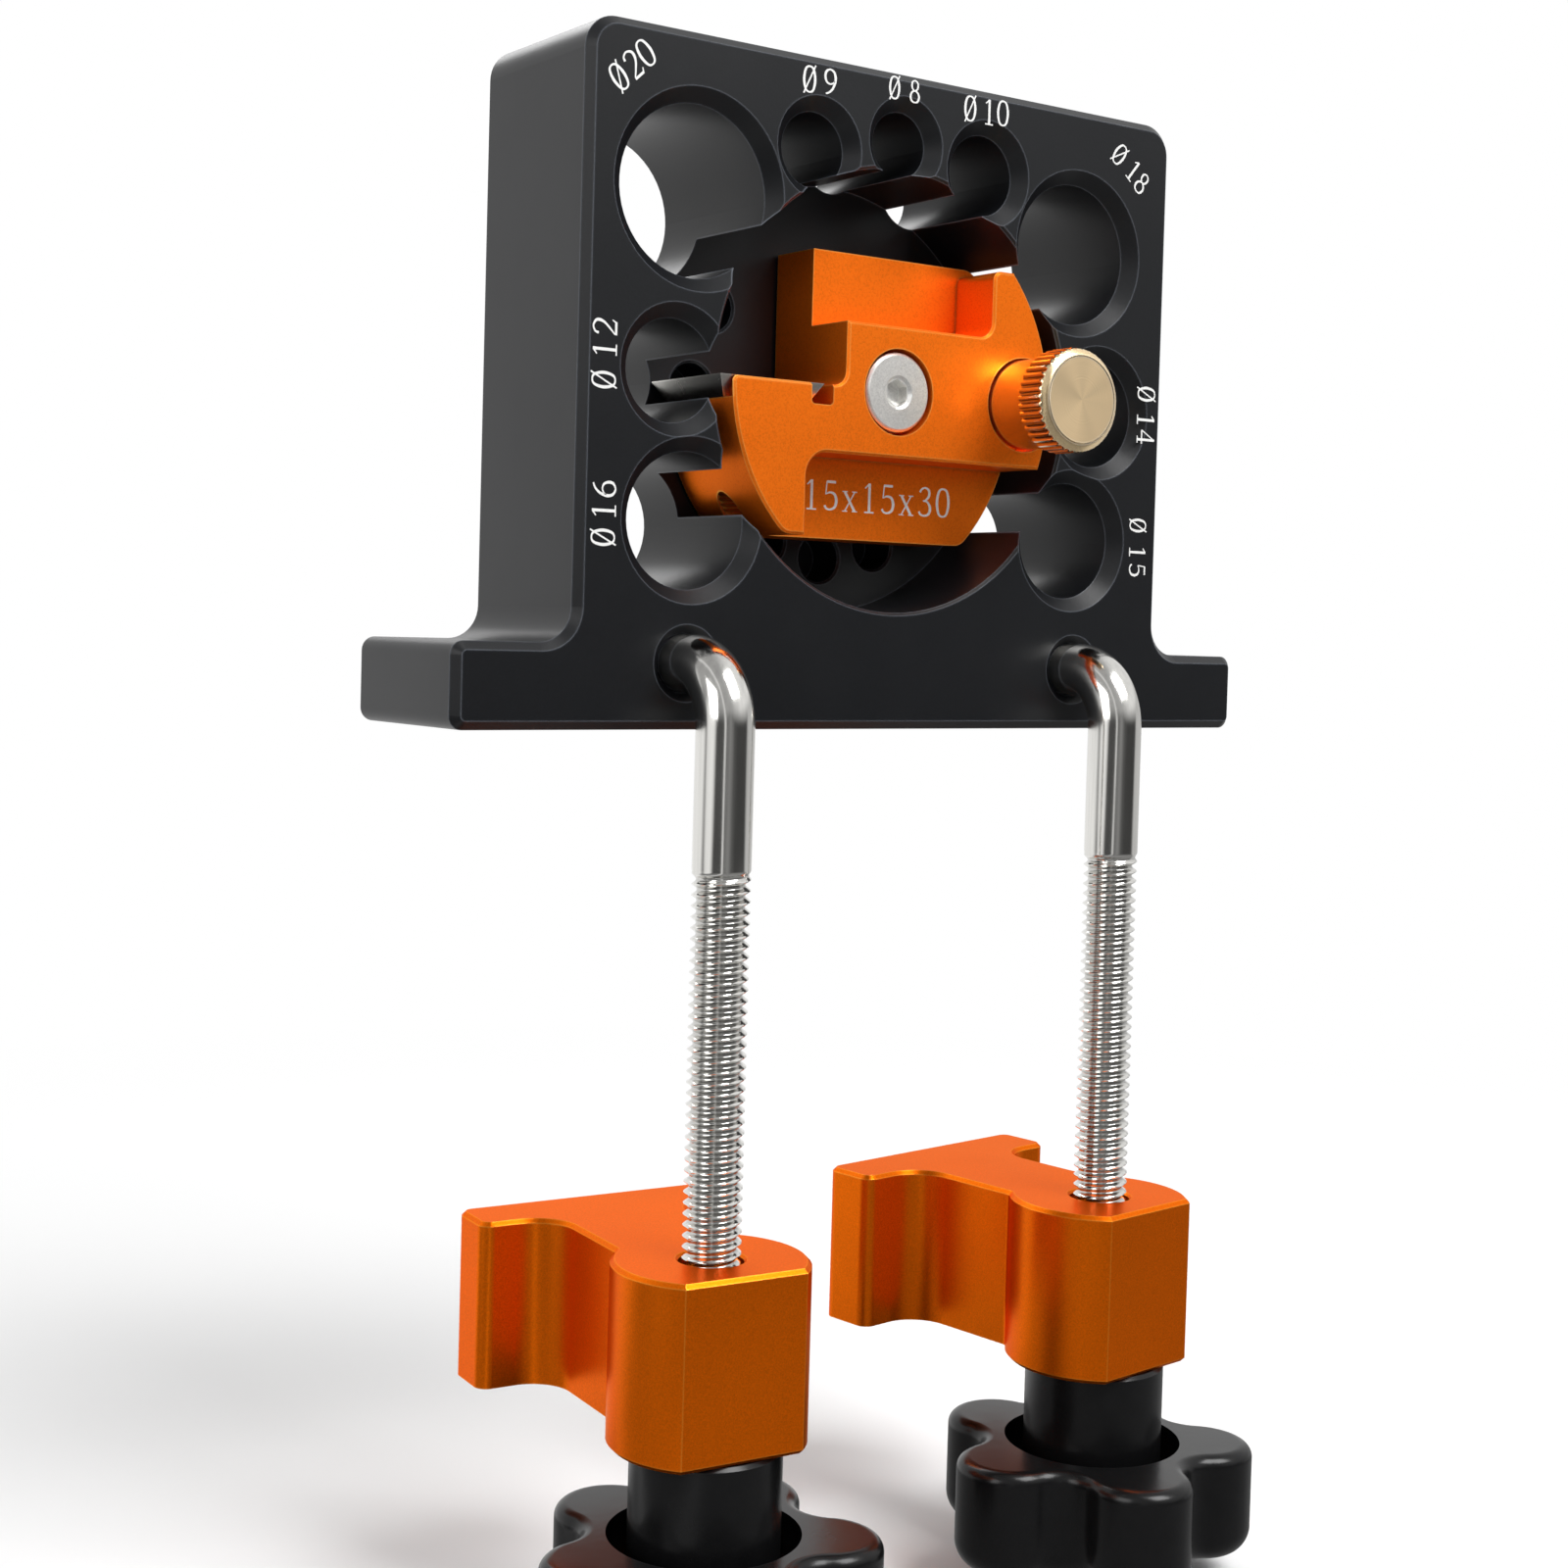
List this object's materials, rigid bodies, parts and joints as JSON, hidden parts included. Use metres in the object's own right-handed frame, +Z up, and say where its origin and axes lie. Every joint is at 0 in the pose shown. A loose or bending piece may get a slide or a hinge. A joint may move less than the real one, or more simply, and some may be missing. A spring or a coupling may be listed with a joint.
{
  "type": "dowel plate",
  "caption": "Indexing dowel-making plate: sized bores around a pocket with a turning blade holder, held to a bench edge by hook rods and clamps.",
  "frame": {"origin": "centre of the plate's base face, which rests on the bench", "axes": "+Z up the plate, +X along its width, -Y out of the numbered front face"},
  "size_m": [0.12, 0.0538, 0.188],
  "materials": {
    "black_anodised": "satin anodised",
    "orange_anodised": "satin anodised",
    "carbide": "ground",
    "black_steel": "black oxide",
    "stainless_steel": "satin stainless",
    "brass": "turned",
    "polished_steel": "polished",
    "black_plastic": "satin moulded"
  },
  "bodies": {
    "plate": {"jig_body": "black_anodised", "pivot_screw": "stainless_steel"},
    "holder": {"blade_holder": "orange_anodised", "carbide_blade": "carbide", "blade_screw": "black_steel"},
    "index_pin": {"index_pin": "polished_steel"},
    "index_knob": {"index_knob": "brass"},
    "rod_left": {"hook_rod_left": "polished_steel"},
    "sleeve_left": {"knob_sleeve_left": "black_plastic"},
    "block_left": {"clamp_block_left": "orange_anodised"},
    "knob_left": {"star_knob_left": "black_plastic", "knob_insert_left": "brass"},
    "rod_right": {"hook_rod_right": "polished_steel"},
    "sleeve_right": {"knob_sleeve_right": "black_plastic"},
    "block_right": {"clamp_block_right": "orange_anodised"},
    "knob_right": {"star_knob_right": "black_plastic", "knob_insert_right": "brass"}
  },
  "joints": [
    {"name": "holder_turn", "type": "hinge", "parent": "plate", "child": "holder", "pos_m": [0, -0.012, 0.0413], "axis": [0, -1, 0], "continuous": true},
    {"name": "pin_slide", "type": "slide", "parent": "holder", "child": "index_pin", "axis": [0, 1, 0], "range_m": [0, 0.004]},
    {"name": "knob_turn", "type": "hinge", "parent": "index_pin", "child": "index_knob", "pos_m": [0.0202, -0.012, 0.0413], "axis": [0, 1, 0], "range_deg": [0, 1440]},
    {"name": "left_swing", "type": "hinge", "parent": "plate", "child": "rod_left", "pos_m": [-0.03, -0.012, 0.0077], "axis": [0, 1, 0], "range_deg": [-3, 90]},
    {"name": "left_lift", "type": "slide", "parent": "rod_left", "child": "sleeve_left", "axis": [0, 0, 1], "range_m": [-0.003, 0.035]},
    {"name": "left_knob", "type": "hinge", "parent": "sleeve_left", "child": "knob_left", "pos_m": [-0.03, -0.0203, -0.1], "axis": [0, 0, 1], "range_deg": [-864, 10080]},
    {"name": "left_swivel", "type": "hinge", "parent": "sleeve_left", "child": "block_left", "pos_m": [-0.03, -0.0203, -0.0702], "axis": [0, 0, 1], "range_deg": [-5, 90]},
    {"name": "right_swing", "type": "hinge", "parent": "plate", "child": "rod_right", "pos_m": [0.03, -0.012, 0.0077], "axis": [0, -1, 0], "range_deg": [-3, 90]},
    {"name": "right_lift", "type": "slide", "parent": "rod_right", "child": "sleeve_right", "axis": [0, 0, 1], "range_m": [-0.003, 0.035]},
    {"name": "right_knob", "type": "hinge", "parent": "sleeve_right", "child": "knob_right", "pos_m": [0.03, -0.0203, -0.1], "axis": [0, 0, 1], "range_deg": [-864, 10080]},
    {"name": "right_swivel", "type": "hinge", "parent": "sleeve_right", "child": "block_right", "pos_m": [0.03, -0.0203, -0.0702], "axis": [0, 0, -1], "range_deg": [-5, 90]}
  ],
  "couplings": [
    {"joint": "knob_turn", "follows": "pin_slide", "rad_per_m": 6283.2},
    {"joint": "left_knob", "follows": "left_lift", "rad_per_m": 5026.5},
    {"joint": "right_knob", "follows": "right_lift", "rad_per_m": 5026.5}
  ]
}
